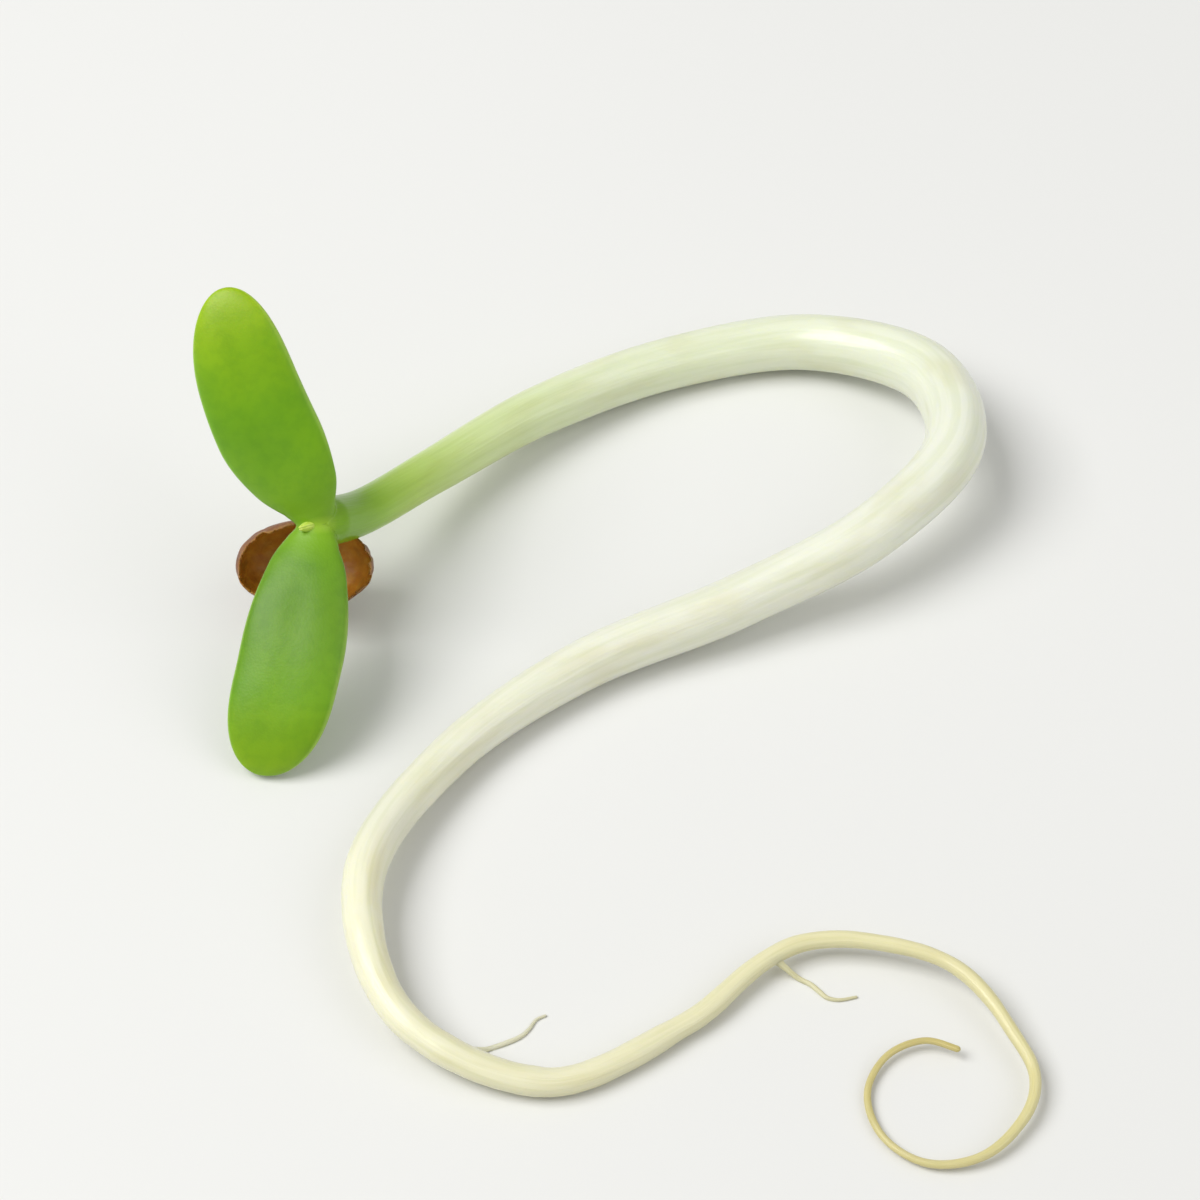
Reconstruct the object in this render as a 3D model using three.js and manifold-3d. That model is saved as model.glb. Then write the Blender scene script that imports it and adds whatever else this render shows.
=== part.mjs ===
// One alfalfa sprout, picked and laid on a flat surface: a wavy white stem that tapers into a thin root,
// two open seed leaves with the first bud between them, and the split seed coat that clings to the neck.
// Millimetres, +Z up. The surface it rests on is the plane under its lowest points.
import * as THREE from "three";
import { mergeVertices } from "three/addons/utils/BufferGeometryUtils.js";
import Module from "manifold-3d";

const wasm = await Module();
wasm.setup();

// ---- Driving dimensions ------------------------------------------------------------------------------

// The axis from the fork of the seed leaves to the start of the root tip's curl, as [x, y, lift].
// The lift is the clear height under it.
const AXIS_ROUTE = [
  [-6.0, -0.2, 2.5],
  [-5.2, 0.9, 1.65],
  [-3.7, 2.9, 0.8],
  [-1.3, 5.2, 0.3],
  [1.8, 7.0, 0.0],
  [5.0, 7.5, 0.1],
  [7.6, 6.0, 0.6],
  [8.0, 3.2, 1.1],
  [6.1, 0.9, 0.9],
  [3.1, -0.6, 0.3],
  [-0.4, -2.2, 0.0],
  [-3.2, -4.7, 0.1],
  [-4.8, -8.0, 0.4],
  [-3.9, -11.2, 0.3],
  [-1.0, -12.5, 0.0],
  [1.8, -11.1, 0.0],
  [4.2, -9.3, 0.25],
  [7.0, -9.8, 0.4],
];

// The root tip curls inward on a level spiral, clockwise seen from above.
const CURL_CENTRE = [6.75, -12.6];
const CURL_START = 20; // degrees from +X
const CURL_TURN = 320; // degrees
const CURL_RADII = [1.95, 1.0];
const CURL_LIFT = 0.2; // at its two ends; halfway round it rests on the surface
const CURL_POINTS = 9;

const STEM_LENGTH = 37; // from the fork to the collar, where the root begins

// Radius of the axis at some distances from the fork, as [distance, radius].
const AXIS_RADII = [
  [0, 0.54],
  [2, 0.5],
  [9, 0.58],
  [18, 0.7],
  [27, 0.6],
  [37, 0.45],
  [44, 0.3],
  [53, 0.17],
  [63, 0.07],
];

// The seed leaves: the way each one points from foot to tip, and the way their upper faces look.
const LEAF_FACE = heading(257, 45);
// `full` is the share of its length at which a leaf has its full size, and `taper` the share of its width
// that it loses on its way to the tip.
const UPPER_LEAF = { along: heading(126, 56), length: 5.2, full: 0.38, taper: 0.18 };
const LOWER_LEAF = { along: heading(256, -33), length: 5.15, full: 0.5, taper: 0.04 };
const LEAF_WIDTH = 2.3;
const LEAF_THICKNESS = 0.66;
const LEAF_ARCH = 34; // degrees that a seed leaf arches back over its length
const LEAF_BOW = 0.16; // how far its middle swings to one side
const STALK_WIDTH = 1.4;
const STALK_THICKNESS = 0.46;
const LEAF_START = 0.5; // how far from the fork a stalk begins to swell
const LEAF_FOOT = -0.07; // u at its foot, between there and the fork
const FOOT_ROUND = 0.06; // share of its length over which the foot is rounded off
const TIP_ROUND = 0.4; // and the tip
const TIP_POWER = 2.5; // 2 would make the tip half an ellipse, more makes it blunter

const BUD_LENGTH = 0.5;
const BUD_WIDTH = 0.3;

// The seed coat: the hollow husk of the seed, torn open towards the leaves, with the neck in its split.
const COAT_LENGTH = 3.0;
const COAT_WIDTH = 2.0;
const COAT_DEPTH = 1.9;
const COAT_WALL = 0.13;
const COAT_PLACE = 1.25; // how far down the neck it clings
const COAT_SHIFT = [-1.0, -1.1]; // from the neck to its middle, along its length and its width
const COAT_MOUTH = 0.35; // how far past its middle the torn edge runs

const GAP = 0.04; // left between neighbouring pieces

const AXIS_STEP = 0.6; // between cross-sections of the stem and root
const LEAF_STATIONS = 22;
const STEM_SIDES = 12;
const ROOT_SIDES = 10;
const LEAF_SIDES = 16;

// ---- Directions and the axis --------------------------------------------------------------------------

// A unit vector, from its azimuth counter-clockwise from +X and its rise above the surface, in degrees.
function heading(azimuth, rise) {
  const turn = THREE.MathUtils.degToRad(azimuth);
  const lean = THREE.MathUtils.degToRad(rise);
  const level = Math.cos(lean);
  return new THREE.Vector3(Math.cos(turn) * level, Math.sin(turn) * level, Math.sin(lean));
}

// A value from a table of [position, value] rows, eased from row to row.
function eased(table, at) {
  const last = table.length - 1;
  if (at <= table[0][0]) return table[0][1];
  if (at >= table[last][0]) return table[last][1];
  const i = table.findIndex((row) => row[0] >= at);
  const [x0, y0] = table[i - 1];
  const [x1, y1] = table[i];
  return THREE.MathUtils.lerp(y0, y1, THREE.MathUtils.smoothstep(at, x0, x1));
}

const axisRadius = (at) => eased(AXIS_RADII, at);

function curlRoute() {
  const route = [];
  for (let i = 0; i < CURL_POINTS; i += 1) {
    const share = i / (CURL_POINTS - 1);
    const angle = THREE.MathUtils.degToRad(CURL_START - CURL_TURN * share);
    const radius = THREE.MathUtils.lerp(...CURL_RADII, share);
    const x = CURL_CENTRE[0] + radius * Math.cos(angle);
    const y = CURL_CENTRE[1] + radius * Math.sin(angle);
    route.push([x, y, CURL_LIFT * Math.cos(Math.PI * share) ** 2]);
  }
  return route;
}

function axisCurve() {
  const route = [...AXIS_ROUTE, ...curlRoute()];
  let distance = 0;
  const points = route.map(([x, y, lift], i) => {
    if (i > 0) distance += Math.hypot(x - route[i - 1][0], y - route[i - 1][1]);
    return new THREE.Vector3(x, y, lift + axisRadius(distance));
  });
  const curve = new THREE.CatmullRomCurve3(points);
  curve.arcLengthDivisions = 2000;
  return curve;
}

const axis = axisCurve();
const axisLength = axis.getLength();
const fork = axis.getPointAt(0);
const neck = axis.getTangentAt(0).negate(); // the way the neck points as it reaches the fork

// ---- Solids swept through stations ---------------------------------------------------------------------

// A station is one cross-section: its centre, its side and up directions, its half width and half height.
// The surface starts as a lathe of unit radius, and each of its rings is moved to a station.
// The first and last stations have no width, so the lathe is closed on its axis.
function sweep(stations, sides) {
  const rings = stations.map(({ halfWidth }, i) => new THREE.Vector2(halfWidth > 0 ? 1 : 0, i));
  const geometry = new THREE.LatheGeometry(rings, sides);
  const place = geometry.attributes.position;
  for (let i = 0; i < place.count; i += 1) {
    const { centre, side, up, halfWidth, halfHeight } = stations[i % stations.length];
    const p = centre
      .clone()
      .addScaledVector(side, place.getZ(i) * halfWidth)
      .addScaledVector(up, place.getX(i) * halfHeight);
    place.setXYZ(i, p.x, p.y, p.z);
  }
  return geometry;
}

// The [distance, radius] rows that close one end of a tube, from its centre out: a dome, or a flat face.
function endRows(at, inward, round) {
  const radius = axisRadius(at);
  if (!round) {
    return [
      [at, 0],
      [at, radius],
    ];
  }
  return [0, 30, 60, 90].map((degrees) => {
    const a = THREE.MathUtils.degToRad(degrees);
    return [at + inward * radius * (1 - Math.cos(a)), radius * Math.sin(a)];
  });
}

// Stations along the axis from one distance to another. `extra` is added to the radius all the way.
function axisStations({ from, to, roundStart = false, roundEnd = false, extra = 0 }) {
  const start = endRows(from, 1, roundStart);
  const end = endRows(to, -1, roundEnd).reverse();
  const first = start[start.length - 1][0];
  const last = end[0][0];
  const count = Math.ceil((last - first) / AXIS_STEP);
  const between = [];
  for (let i = 1; i < count; i += 1) {
    const at = THREE.MathUtils.lerp(first, last, i / count);
    between.push([at, axisRadius(at)]);
  }
  let up = new THREE.Vector3(0, 0, 1);
  return [...start, ...between, ...end].map(([at, radius]) => {
    const centre = axis.getPointAt(at / axisLength);
    const tangent = axis.getTangentAt(at / axisLength);
    const side = new THREE.Vector3().crossVectors(up, tangent).normalize();
    up = new THREE.Vector3().crossVectors(tangent, side);
    const size = radius > 0 ? radius + extra : 0;
    return { centre, side, up, halfWidth: size, halfHeight: size };
  });
}

// ---- Cuts ----------------------------------------------------------------------------------------------

function solidOf(geometry) {
  const bare = geometry.clone();
  bare.deleteAttribute("normal");
  bare.deleteAttribute("uv");
  const merged = mergeVertices(bare);
  return new wasm.Manifold(
    new wasm.Mesh({
      numProp: 3,
      vertProperties: merged.attributes.position.array,
      triVerts: merged.index.array,
    }),
  );
}

function geometryOf(solid) {
  const mesh = solid.getMesh();
  const geometry = new THREE.BufferGeometry();
  geometry.setAttribute("position", new THREE.BufferAttribute(mesh.vertProperties, 3));
  geometry.setIndex(new THREE.BufferAttribute(mesh.triVerts, 1));
  return geometry;
}

// ---- The pieces ----------------------------------------------------------------------------------------

// The stem has a dome in the fork and a flat face at the collar.
function stemGeometry() {
  return sweep(axisStations({ from: 0, to: STEM_LENGTH - GAP / 2, roundStart: true }), STEM_SIDES);
}

// The root carries on from the collar and thins to a curled thread.
function rootGeometry() {
  const stations = axisStations({ from: STEM_LENGTH + GAP / 2, to: axisLength, roundEnd: true });
  return sweep(stations, ROOT_SIDES);
}

// Along a seed leaf u runs from LEAF_FOOT at the foot of its stalk to 1 at its tip. From 0 on it swells from
// the stalk's size to the blade's, and both its ends are rounded off.
function swell(u, full, stalk, blade) {
  return THREE.MathUtils.lerp(stalk, blade, Math.sin((Math.PI / 2) * THREE.MathUtils.clamp(u / full, 0, 1)));
}

function endShare(u) {
  const foot = Math.max(0, 1 - (u - LEAF_FOOT) / FOOT_ROUND);
  const tip = Math.max(0, 1 - (1 - u) / TIP_ROUND);
  return Math.sqrt(1 - foot ** 2) * Math.sqrt(1 - tip ** TIP_POWER);
}

// A seed leaf runs along an arc from the fork: it sets off leaning to its upper face and arches back. The
// two feet leave room for the bud between them.
function leafGeometry({ along, length, full, taper }) {
  const outward = along.clone().addScaledVector(LEAF_FACE, -along.dot(LEAF_FACE)).normalize();
  const side = new THREE.Vector3().crossVectors(LEAF_FACE, outward);
  const mix = (first, second) => LEAF_FACE.clone().multiplyScalar(first).addScaledVector(outward, second);
  const runAt = (angle) => mix(Math.cos(angle), Math.sin(angle));
  const faceAt = (angle) => mix(Math.sin(angle), -Math.cos(angle));
  const arch = THREE.MathUtils.degToRad(LEAF_ARCH);
  const startAngle = along.angleTo(LEAF_FACE) - arch / 2;
  const arcRadius = length / arch;
  const foot = fork.clone().addScaledVector(runAt(startAngle), LEAF_START);
  const arcCentre = foot.addScaledVector(faceAt(startAngle), -arcRadius);
  const stations = [];
  for (let i = 0; i <= LEAF_STATIONS; i += 1) {
    const u = THREE.MathUtils.lerp(LEAF_FOOT, 1, (1 - Math.cos((Math.PI * i) / LEAF_STATIONS)) / 2);
    const up = faceAt(startAngle + arch * u);
    const centre = arcCentre.clone().addScaledVector(up, arcRadius);
    centre.addScaledVector(side, LEAF_BOW * Math.sin(Math.PI * u));
    const share = endShare(u);
    const halfWidth = (share * (1 - taper * u ** 2) * swell(u, full, STALK_WIDTH, LEAF_WIDTH)) / 2;
    const halfHeight = (share * swell(u, full, STALK_THICKNESS, LEAF_THICKNESS)) / 2;
    stations.push({ centre, side, up, halfWidth, halfHeight });
  }
  return geometryOf(solidOf(sweep(stations, LEAF_SIDES)).subtract(solidOf(budGeometry(GAP))));
}

// The bud stands in the fork, an egg that points the way the neck does, or the room for it with some extra.
function budGeometry(extra = 0) {
  const geometry = new THREE.SphereGeometry(1, 12, 8);
  geometry.scale(BUD_WIDTH / 2 + extra, BUD_LENGTH / 2 + extra, BUD_WIDTH / 2 + extra);
  geometry.applyQuaternion(new THREE.Quaternion().setFromUnitVectors(new THREE.Vector3(0, 1, 0), neck));
  const place = fork.clone().addScaledVector(neck, GAP + BUD_LENGTH / 2);
  return geometry.translate(place.x, place.y, place.z);
}

// The husk is an egg-shaped shell with its length across the neck. It is open beyond the torn edge, and the
// room for the neck is cut through one side of it, which is the split.
function coatGeometry() {
  const long = new THREE.Vector3(1, 0, 0);
  const mouth = neck.clone().setX(0).normalize();
  const wide = new THREE.Vector3().crossVectors(mouth, long);
  const place = axis
    .getPointAt(COAT_PLACE / axisLength)
    .addScaledVector(long, COAT_SHIFT[0])
    .addScaledVector(wide, COAT_SHIFT[1]);
  const turn = new THREE.Matrix4().makeBasis(long, wide, mouth).setPosition(place);
  const husk = (inset) =>
    solidOf(
      new THREE.SphereGeometry(1, 24, 16)
        .scale(COAT_LENGTH / 2 - inset, COAT_WIDTH / 2 - inset, COAT_DEPTH / 2 - inset)
        .applyMatrix4(turn),
    );
  const opening = new THREE.BoxGeometry(COAT_LENGTH, COAT_WIDTH, COAT_DEPTH);
  opening.translate(0, 0, COAT_MOUTH + COAT_DEPTH / 2).applyMatrix4(turn);
  const room = sweep(axisStations({ from: 0, to: COAT_PLACE + COAT_LENGTH, extra: GAP }), STEM_SIDES);
  return geometryOf(husk(0).subtract(husk(COAT_WALL)).subtract(solidOf(opening)).subtract(solidOf(room)));
}

// ---- Materials and the assembly ------------------------------------------------------------------------

function piece(name, geometry, color, roughness) {
  const mesh = new THREE.Mesh(geometry, new THREE.MeshStandardMaterial({ color, roughness, metalness: 0 }));
  mesh.name = name;
  return mesh;
}

const sprout = new THREE.Group();
sprout.add(
  piece("stem", stemGeometry(), 0xe9ebdb, 0.35),
  piece("root", rootGeometry(), 0xe8dfbf, 0.45),
  piece("upper_seed_leaf", leafGeometry(UPPER_LEAF), 0x8fc31f, 0.42),
  piece("lower_seed_leaf", leafGeometry(LOWER_LEAF), 0x62a83a, 0.42),
  piece("first_leaf_bud", budGeometry(), 0xc9d86a, 0.5),
  piece("seed_coat", coatGeometry(), 0x8a4a1c, 0.35),
);

// The origin is the middle of the footprint, on the surface.
const box = new THREE.Box3().setFromObject(sprout);
const middle = box.getCenter(new THREE.Vector3());
sprout.position.set(-middle.x, -middle.y, -box.min.z);

export default sprout;
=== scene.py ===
"""The looks of one alfalfa sprout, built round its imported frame.

Shapes are worked out in millimetres, in the frame of the sprout's own axis, and turned into metres in the
row frame when a mesh is made. Each piece carries a "skin" attribute, which its material reads: what its
three numbers mean is said where the piece is made.
"""

import math

import bpy
import numpy as np
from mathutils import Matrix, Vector, noise


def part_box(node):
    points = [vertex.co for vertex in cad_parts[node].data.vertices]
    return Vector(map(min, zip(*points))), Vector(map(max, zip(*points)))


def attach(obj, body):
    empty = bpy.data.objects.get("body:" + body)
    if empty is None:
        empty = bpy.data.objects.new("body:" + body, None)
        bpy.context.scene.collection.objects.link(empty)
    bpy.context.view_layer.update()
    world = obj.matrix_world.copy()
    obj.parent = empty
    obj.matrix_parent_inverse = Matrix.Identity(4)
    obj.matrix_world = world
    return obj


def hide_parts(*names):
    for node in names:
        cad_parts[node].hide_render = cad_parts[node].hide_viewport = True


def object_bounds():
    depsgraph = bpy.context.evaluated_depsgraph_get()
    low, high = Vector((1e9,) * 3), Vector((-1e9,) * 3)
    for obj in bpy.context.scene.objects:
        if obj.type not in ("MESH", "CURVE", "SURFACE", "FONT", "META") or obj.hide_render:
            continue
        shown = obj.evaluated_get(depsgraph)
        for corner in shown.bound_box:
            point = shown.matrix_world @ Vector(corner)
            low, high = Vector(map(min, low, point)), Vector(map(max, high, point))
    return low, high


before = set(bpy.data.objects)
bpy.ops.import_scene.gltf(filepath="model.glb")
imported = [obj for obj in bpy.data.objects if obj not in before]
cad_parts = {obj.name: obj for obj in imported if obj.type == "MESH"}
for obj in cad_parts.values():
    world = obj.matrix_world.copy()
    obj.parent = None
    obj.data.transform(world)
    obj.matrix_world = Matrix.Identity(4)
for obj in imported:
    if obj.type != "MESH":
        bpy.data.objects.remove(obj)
CAD_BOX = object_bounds()

MM = 0.001  # one millimetre in metres
TINY = 1e-6  # keeps a division from running into 0
SEED_STEP = (7.3, 3.1, 5.7)  # how far apart in the noise two seeds next to each other are read

# ---- The axis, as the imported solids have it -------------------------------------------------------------

# From the fork of the seed leaves to the root tip's curl, as (x, y, lift): lift is the clear height under it.
AXIS_ROUTE = [
    (-6.0, -0.2, 2.5),
    (-5.2, 0.9, 1.65),
    (-3.7, 2.9, 0.8),
    (-1.3, 5.2, 0.3),
    (1.8, 7.0, 0.0),
    (5.0, 7.5, 0.1),
    (7.6, 6.0, 0.6),
    (8.0, 3.2, 1.1),
    (6.1, 0.9, 0.9),
    (3.1, -0.6, 0.3),
    (-0.4, -2.2, 0.0),
    (-3.2, -4.7, 0.1),
    (-4.8, -8.0, 0.4),
    (-3.9, -11.2, 0.3),
    (-1.0, -12.5, 0.0),
    (1.8, -11.1, 0.0),
    (4.2, -9.3, 0.25),
    (7.0, -9.8, 0.4),
]
# The curl is a spiral, clockwise seen from above.
CURL_CENTRE = (6.75, -12.6)
CURL_START = 20  # degrees from +X
CURL_TURN = 320  # degrees
CURL_RADII = (1.95, 1.0)
CURL_LIFT = 0.2  # at its two ends; halfway round it rests on the surface
CURL_POINTS = 9
# Radius of the axis at some distances from the fork, as (distance, radius).
AXIS_RADII = [
    (0, 0.54),
    (2, 0.5),
    (9, 0.58),
    (18, 0.7),
    (27, 0.6),
    (37, 0.45),
    (44, 0.3),
    (53, 0.17),
    (63, 0.07),
]
STEM_LENGTH = 37.0  # from the fork to the collar, where the root begins

STRAND_STEPS = 60  # points between two of the points that a strand is drawn through
RUN_REACH = 0.06  # how far ahead and back the direction of a strand is read
BOX_STEPS = 2000  # places along the stem at which its box is measured


def heading(azimuth, rise):
    """A unit vector, from its azimuth counter-clockwise from +X and its rise, in degrees."""
    turn = math.radians(azimuth)
    lean = math.radians(rise)
    return np.array([math.cos(turn) * math.cos(lean), math.sin(turn) * math.cos(lean), math.sin(lean)])


def unit(v):
    return v / np.linalg.norm(v, axis=-1, keepdims=True)


def smoothstep(x, low, high):
    t = np.clip((np.asarray(x, float) - low) / (high - low), 0, 1)
    return t * t * (3 - 2 * t)


def mix(a, b, t):
    return a + (b - a) * t


def eased(table, at):
    """Values of a table of (position, value) rows, eased from row to row."""
    places, values = np.array(table, float).T
    i = np.clip(np.searchsorted(places, at) - 1, 0, len(places) - 2)
    return mix(values[i], values[i + 1], smoothstep(at, places[i], places[i + 1]))


def turns(count):
    """Angles all the way round, in radians."""
    return np.linspace(0, 2 * math.pi, count, endpoint=False)


def on_line(s):
    """Points along a straight line, for noise that depends on the distance alone."""
    return np.stack([s, 0 * s, 0 * s], -1)


def rough(points, size, seed):
    """Smooth noise from -1 to 1 at points, with features of about that size."""
    shift = Vector([seed * step for step in SEED_STEP])
    return np.array([noise.noise(Vector(p) / size + shift) for p in points])


def curve_through(points, steps):
    """Points along a centripetal Catmull-Rom curve through the given points."""
    ends = [2 * points[0] - points[1], *points, 2 * points[-1] - points[-2]]
    made = []
    for p0, p1, p2, p3 in zip(ends, ends[1:], ends[2:], ends[3:]):
        d0, d1, d2 = (math.sqrt(np.linalg.norm(b - a)) for a, b in ((p0, p1), (p1, p2), (p2, p3)))
        m1 = ((p1 - p0) / d0 - (p2 - p0) / (d0 + d1) + (p2 - p1) / d1) * d1
        m2 = ((p2 - p1) / d1 - (p3 - p1) / (d1 + d2) + (p3 - p2) / d2) * d1
        t = np.linspace(0, 1, steps, endpoint=False)[:, None]
        made.append(
            p1 + m1 * t + (3 * (p2 - p1) - 2 * m1 - m2) * t**2 + (2 * (p1 - p2) + m1 + m2) * t**3
        )
    return np.vstack([*made, points[-1:]])


class Strand:
    """A curve that is read by the distance along it, in millimetres."""

    def __init__(self, points):
        self.points = curve_through(np.array(points, float), STRAND_STEPS)
        hops = np.linalg.norm(np.diff(self.points, axis=0), axis=1)
        self.distances = np.concatenate([[0], np.cumsum(hops)])
        self.length = self.distances[-1]

    def on_curve(self, s):
        return np.stack([np.interp(s, self.distances, self.points[:, k]) for k in range(3)], -1)

    def at(self, s):
        """The point at s, straight on from the curve's ends where s is beyond them."""
        s = np.asarray(s, float)
        inside = np.clip(s, 0, self.length)
        beyond = (s - inside)[..., None]
        return self.on_curve(inside) + beyond * self.run(inside)

    def run(self, s):
        """The unit direction along the curve."""
        middle = np.clip(s, 0, self.length)
        low = np.clip(middle - RUN_REACH, 0, self.length)
        high = np.clip(middle + RUN_REACH, 0, self.length)
        return unit(self.on_curve(high) - self.on_curve(low))

    def frames(self, s):
        """Level side directions, and the up directions square to them and to the run."""
        run = self.run(s)
        side = unit(np.cross((0, 0, 1), run))
        return side, np.cross(run, side)


def curl_route():
    share = np.linspace(0, 1, CURL_POINTS)
    angle = np.radians(CURL_START - CURL_TURN * share)
    radius = mix(*CURL_RADII, share)
    x = CURL_CENTRE[0] + radius * np.cos(angle)
    y = CURL_CENTRE[1] + radius * np.sin(angle)
    return np.stack([x, y, CURL_LIFT * np.cos(math.pi * share) ** 2], -1)


def sprout_axis():
    route = np.vstack([AXIS_ROUTE, curl_route()])
    hops = np.hypot(*np.diff(route[:, :2], axis=0).T)
    radii = eased(AXIS_RADII, np.concatenate([[0], np.cumsum(hops)]))
    route[:, 2] += radii
    return Strand(route)


AXIS = sprout_axis()


def stem_box():
    """The box of the stem as worked out here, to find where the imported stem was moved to."""
    s = np.linspace(0, STEM_LENGTH, BOX_STEPS)
    centres = AXIS.at(s)
    runs = AXIS.run(s)
    reach = eased(AXIS_RADII, s)[:, None] * np.sqrt(1 - runs**2)
    return (centres - reach).min(0), (centres + reach).max(0)


def row_shift():
    """From the axis's own frame to the row frame, in millimetres."""
    own_low, own_high = stem_box()
    low, high = (np.array(corner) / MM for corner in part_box("stem"))
    shift = (low + high) / 2 - (own_low + own_high) / 2
    shift[2] = (low - own_low)[2]
    return shift


ROW_SHIFT = row_shift()

# ---- Meshes ---------------------------------------------------------------------------------------------

CAP_RINGS = 20  # over each rounded end of a tube
CAP_START = 0.12  # the angle from the very end to the first of them, in radians


def mesh_object(name, points, faces, skin):
    mesh = bpy.data.meshes.new(name)
    mesh.from_pydata(((points + ROW_SHIFT) * MM).tolist(), [], faces)
    attribute = mesh.attributes.new("skin", "FLOAT_VECTOR", "POINT")
    attribute.data.foreach_set("vector", np.asarray(skin, np.float32).ravel())
    mesh.shade_smooth()
    piece = bpy.data.objects.new(name, mesh)
    bpy.context.scene.collection.objects.link(piece)
    return piece


def ring_faces(rings, sides):
    """Quads between rings of points, all facing out when the rings turn counter-clockwise about their run."""
    faces = []
    for low in range(0, (rings - 1) * sides, sides):
        high = low + sides
        for j in range(sides):
            k = (j + 1) % sides
            faces.append((low + j, low + k, high + k, high + j))
    return faces


def loft(rings, skin):
    """Points, faces and skin of a surface through rings of points, closed with a point at either end."""
    count, sides = rings.shape[:2]
    faces = ring_faces(count, sides)
    first, last = count * sides, count * sides + 1
    for j in range(sides):
        k = (j + 1) % sides
        faces.append((first, k, j))
        faces.append((last, (count - 1) * sides + j, (count - 1) * sides + k))
    points = np.vstack([rings.reshape(-1, 3), rings[0].mean(0), rings[-1].mean(0)])
    skins = np.vstack([skin.reshape(-1, 3), skin[0].mean(0), skin[-1].mean(0)])
    return points, faces, skins


def end_share(s, start, end, start_radius, end_radius):
    """The share of a tube's full radius at s, which rounds off both its ends."""
    near_start = np.clip(1 - (s - start) / start_radius, 0, 1)
    near_end = np.clip(1 - (end - s) / end_radius, 0, 1)
    return np.sqrt(1 - near_start**2) * np.sqrt(1 - near_end**2)


def rounded_steps(start, end, step, start_radius, end_radius):
    """Distances from start to end, drawn close together where the ends are rounded off."""
    cap = 1 - np.cos(np.linspace(CAP_START, math.pi / 2, CAP_RINGS))
    middle_start, middle_end = start + start_radius, end - end_radius
    count = max(2, int((middle_end - middle_start) / step))
    middle = np.linspace(middle_start, middle_end, count + 1)[1:-1]
    return np.concatenate([start + cap * start_radius, middle, end - cap[::-1] * end_radius])


def tube_rings(strand, s, radii):
    """Rings round a strand, and their skin. `radii` has a row for each distance, a column for each angle."""
    side, up = strand.frames(s)
    angle = turns(radii.shape[1])
    around = side[:, None] * np.cos(angle)[None, :, None] + up[:, None] * np.sin(angle)[None, :, None]
    rings = strand.at(s)[:, None] + around * radii[..., None]
    return rings, np.stack(np.broadcast_arrays(np.cos(angle), np.sin(angle), s[:, None]), -1)


# ---- The seed leaves and their fork ---------------------------------------------------------------------

LEAF_FACE = heading(257, 45)  # the way their upper faces look
LEAF_ARCH = 34  # degrees that a leaf arches back over its length
LEAF_BOW = 0.16  # how far its middle swings to one side
LEAF_START = 0.5  # how far from the fork u is 0, where a stalk begins to swell
LEAF_WIDTH = 2.3
LEAF_THICKNESS = 0.66
STALK_WIDTH = 1.4
STALK_THICKNESS = 0.46
TIP_ROUND = 0.4  # share of the length over which the tip is rounded off
TIP_POWER = 2.5  # 2 would make the tip half an ellipse, more makes it blunter
LEAF_FOOT = -0.09  # u at the hidden end of a leaf, in the middle of the fork
LEAF_WAIST = 0.12  # u where a stalk starts to narrow towards its hidden end
WAIST_SHARE = 0.5  # the share of its width that is left at that end


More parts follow.
